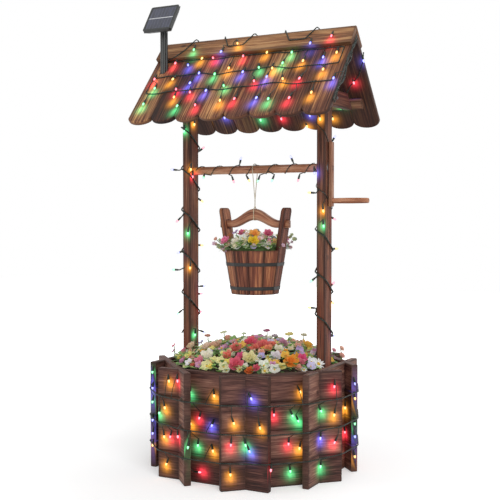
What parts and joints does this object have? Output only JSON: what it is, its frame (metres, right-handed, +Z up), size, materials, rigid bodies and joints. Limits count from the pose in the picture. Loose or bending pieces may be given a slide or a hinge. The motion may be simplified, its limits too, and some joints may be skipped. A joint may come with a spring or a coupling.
{
  "type": "wishing well planter",
  "caption": "Octagonal log-cabin garden planter shaped as a wishing well, with a gabled board roof, a cranked windlass, a hanging coopered bucket and a solar light string.",
  "frame": {"origin": "on the ground at the middle of the octagonal well", "axes": "+X along the windlass towards its crank, -Y towards the front, +Z up"},
  "size_m": [0.6284, 0.5645, 1.2559],
  "materials": {
    "stained_wood": "weathered fir with a red-brown stain",
    "roof_wood": "weathered fir with a red-brown stain, paler where worn",
    "inner_wood": "sawn, unstained",
    "liner_plastic": "black polyethylene",
    "compost": "potting compost",
    "planting": "leaves and flowers",
    "zinc_screw": "zinc plated",
    "hoop_metal": "dark brown paint",
    "cord": "cream twine",
    "green_wire": "dark green sleeve",
    "bulb_plastic": "clear cap",
    "housing_plastic": "dark grey moulding",
    "cell_face": "solar cell under a clear sheet",
    "circuit_board": "green laminate",
    "battery_case": "sleeved cell"
  },
  "bodies": {
    "frame": {"bottom_course_boards": "stained_wood", "second_course_boards": "stained_wood", "third_course_boards": "stained_wood", "top_course_boards": "stained_wood", "left_post": "stained_wood", "right_post": "stained_wood", "post_screws": "zinc_screw", "wall_uprights": "inner_wood", "floor_cleats": "inner_wood", "floor_slats": "inner_wood", "planter_liner": "liner_plastic", "planter_soil": "compost", "planter_flowers": "planting", "front_roof_boards": "roof_wood", "back_roof_boards": "roof_wood", "front_ridge_cap": "roof_wood", "back_ridge_cap": "roof_wood", "gable_ties": "stained_wood", "upper_battens": "stained_wood", "lower_battens": "stained_wood", "tie_screws": "zinc_screw", "panel_stake": "housing_plastic", "tilt_bolt": "zinc_screw", "wing_nut": "zinc_screw", "roof_light_wire": "green_wire", "left_post_light_wire": "green_wire", "right_post_light_wire": "green_wire", "well_light_wire": "green_wire", "roof_bulbs": "bulb_plastic", "left_post_bulbs": "bulb_plastic", "right_post_bulbs": "bulb_plastic", "well_bulbs": "bulb_plastic"},
    "windlass": {"windlass_axle": "stained_wood", "crank_arm": "stained_wood", "crank_grip": "stained_wood", "axle_washers": "zinc_screw", "axle_end_screw": "zinc_screw", "axle_light_wire": "green_wire", "axle_bulbs": "bulb_plastic"},
    "axle_turn_of_string": {"string_wrap": "cord"},
    "string": {"string_strands": "cord"},
    "knot": {"string_knot": "cord"},
    "bucket": {"bail_string_loop": "cord", "bucket_staves": "roof_wood", "bucket_ear_staves": "roof_wood", "bucket_bottom": "inner_wood", "upper_bucket_hoop": "hoop_metal", "lower_bucket_hoop": "hoop_metal", "bucket_bail": "stained_wood", "bucket_soil": "compost", "bucket_flowers": "planting"},
    "panel": {"panel_back_shell": "housing_plastic", "panel_front_frame": "housing_plastic", "solar_cell": "cell_face", "charge_board": "circuit_board", "battery": "battery_case"},
    "power_key": {"power_button": "housing_plastic"},
    "mode_key": {"mode_button": "housing_plastic"}
  },
  "joints": [
    {"name": "windlass_turn", "type": "hinge", "parent": "frame", "child": "windlass", "pos_m": [0, 0, 0.8], "axis": [1, 0, 0], "range_deg": [0, 240]},
    {"name": "bucket_swing", "type": "hinge", "parent": "frame", "child": "axle_turn_of_string", "pos_m": [0, 0, 0.8], "axis": [1, 0, 0], "range_deg": [-30, 30]},
    {"name": "bucket_sway", "type": "hinge", "parent": "axle_turn_of_string", "child": "string", "pos_m": [0, 0, 0.8], "axis": [0, 1, 0], "range_deg": [-10, 10]},
    {"name": "bucket_lift", "type": "slide", "parent": "string", "child": "knot", "axis": [0, 0, 1], "range_m": [0, 0.0504], "deforming": ["string_strands"]},
    {"name": "bucket_turn", "type": "hinge", "parent": "knot", "child": "bucket", "pos_m": [0, 0, 0.6], "axis": [0, 0, 1], "range_deg": [-180, 180]},
    {"name": "panel_tilt", "type": "hinge", "parent": "frame", "child": "panel", "pos_m": [-0.25638, -0.053, 1.19], "axis": [1, 0, 0], "range_deg": [-45, 20]},
    {"name": "power_button_press", "type": "slide", "parent": "panel", "child": "power_key", "axis": [0, -0.8387, 0.5446], "range_m": [0, 0.0012], "stiffness_N_per_m": 400, "springref_m": -0.0006},
    {"name": "mode_button_press", "type": "slide", "parent": "panel", "child": "mode_key", "axis": [0, -0.8387, 0.5446], "range_m": [0, 0.0012], "stiffness_N_per_m": 400, "springref_m": -0.0006}
  ],
  "couplings": [
    {"joint": "bucket_lift", "follows": "windlass_turn", "m_per_rad": 0.012}
  ]
}
